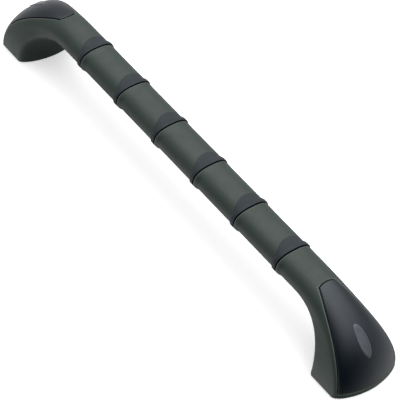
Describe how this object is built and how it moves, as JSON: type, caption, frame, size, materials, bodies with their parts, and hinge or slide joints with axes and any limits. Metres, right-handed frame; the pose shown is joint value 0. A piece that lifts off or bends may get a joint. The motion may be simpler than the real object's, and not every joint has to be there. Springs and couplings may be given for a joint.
{
  "type": "grab rail",
  "caption": "Moulded grab rail with a ribbed soft-touch oval grip on a metal core, flared screw-down feet and push-in screw covers.",
  "frame": {"origin": "centre of the wall plane between the two feet, directly under the middle of the rail", "axes": "+X along the rail towards the foot whose grip starts with a lip; +Z out from the wall that the feet are screwed to; +Y across the grip"},
  "size_m": [0.5158, 0.0656, 0.0641],
  "materials": {
    "body_green": "satin soft-touch moulding, dark olive green-grey",
    "ring_rubber": "matte black thermoplastic rubber",
    "cover_black": "satin black moulding",
    "core_aluminium": "mill-finish extrusion",
    "zinc_steel": "bright zinc plate",
    "plug_plastic": "grey nylon",
    "gasket_foam": "closed-cell foam"
  },
  "bodies": {
    "rail": {"core_tube": "core_aluminium", "grip_ring_1": "ring_rubber", "grip_ring_2": "ring_rubber", "grip_ring_3": "ring_rubber", "grip_ring_4": "ring_rubber", "grip_ring_5": "ring_rubber", "grip_ring_6": "ring_rubber", "grip_sleeve_1": "body_green", "grip_sleeve_2": "body_green", "grip_sleeve_3": "body_green", "grip_sleeve_4": "body_green", "grip_sleeve_5": "body_green", "end_foot_right": "body_green", "end_foot_left": "body_green", "load_plate_right": "zinc_steel", "load_plate_left": "zinc_steel", "base_gasket_right": "gasket_foam", "base_gasket_left": "gasket_foam", "core_plug_right": "plug_plastic", "core_plug_left": "plug_plastic", "core_screw_right": "zinc_steel", "core_screw_left": "zinc_steel"},
    "cover_right": {"screw_cover_right": "cover_black"},
    "cover_left": {"screw_cover_left": "cover_black"}
  },
  "joints": [
    {"name": "cover_right_lift", "type": "slide", "parent": "rail", "child": "cover_right", "axis": [0.7071, 0, 0.7071], "range_m": [0, 0.03]},
    {"name": "cover_left_lift", "type": "slide", "parent": "rail", "child": "cover_left", "axis": [-0.7071, 0, 0.7071], "range_m": [0, 0.03]}
  ]
}
